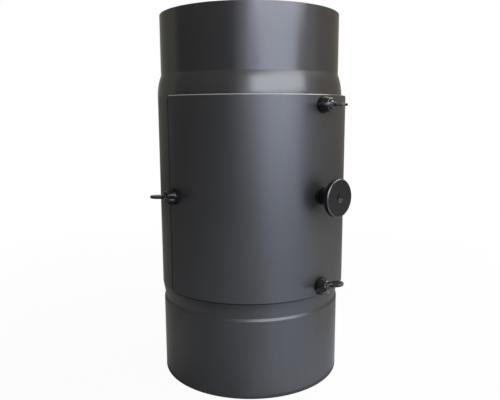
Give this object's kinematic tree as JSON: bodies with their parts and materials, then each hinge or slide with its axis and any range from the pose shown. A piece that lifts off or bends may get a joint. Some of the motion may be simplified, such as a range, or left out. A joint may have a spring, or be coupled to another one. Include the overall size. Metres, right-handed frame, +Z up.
{
  "type": "stove pipe particulate filter",
  "caption": "Steel flue pipe section with a drum that holds a pleated mesh filter, a half-shell cover held by wing nuts, and a knob that turns an inner bypass flap.",
  "frame": {"origin": "middle of the bottom rim, on the flue's axis", "axes": "+Z up along the flue, -Y towards the knob and the middle of the cover, +X to the right of someone facing the knob"},
  "size_m": [0.1924, 0.1771, 0.302],
  "materials": {
    "flue_paint": "satin heat-proof charcoal paint",
    "black_steel": "glossy black coated steel",
    "bare_steel": "bare rolled steel",
    "spring_steel": "blued spring steel",
    "wire_mesh": "pleated woven wire",
    "fibre": "pressed graphite fibre"
  },
  "bodies": {
    "flue": {"flue_body": "flue_paint", "seat_ring": "bare_steel", "seat_gasket": "fibre", "cartridge_base": "bare_steel", "cartridge_top": "bare_steel", "filter_cage": "bare_steel", "filter_mesh": "wire_mesh", "front_bearing": "bare_steel", "rear_bearing": "bare_steel", "cover_gasket": "fibre", "cover": "flue_paint", "cover_bush": "black_steel", "weld_studs": "black_steel", "stud_washers": "black_steel", "spring_washer": "spring_steel"},
    "bypass": {"spindle": "bare_steel", "bypass_flap": "bare_steel", "flap_screws": "bare_steel", "stop_pin": "bare_steel", "knob": "black_steel", "knob_set_screw": "spring_steel"},
    "nut_top": {"wing_nut_top": "black_steel"},
    "nut_bottom": {"wing_nut_bottom": "black_steel"},
    "nut_left": {"wing_nut_left": "black_steel"},
    "nut_right": {"wing_nut_right": "black_steel"}
  },
  "joints": [
    {"name": "bypass_turn", "type": "hinge", "parent": "flue", "child": "bypass", "pos_m": [0, 0, 0.15945], "axis": [0, -1, 0], "range_deg": [0, 90]},
    {"name": "nut_turn_top", "type": "hinge", "parent": "flue", "child": "nut_top", "pos_m": [0, 0, 0.22905], "axis": [0, -1, 0], "continuous": true},
    {"name": "nut_turn_bottom", "type": "hinge", "parent": "flue", "child": "nut_bottom", "pos_m": [0, 0, 0.0879], "axis": [0, -1, 0], "continuous": true},
    {"name": "nut_turn_left", "type": "hinge", "parent": "flue", "child": "nut_left", "pos_m": [0, 0, 0.15875], "axis": [-1, 0, 0], "continuous": true},
    {"name": "nut_turn_right", "type": "hinge", "parent": "flue", "child": "nut_right", "pos_m": [0, 0, 0.15875], "axis": [1, 0, 0], "continuous": true}
  ]
}
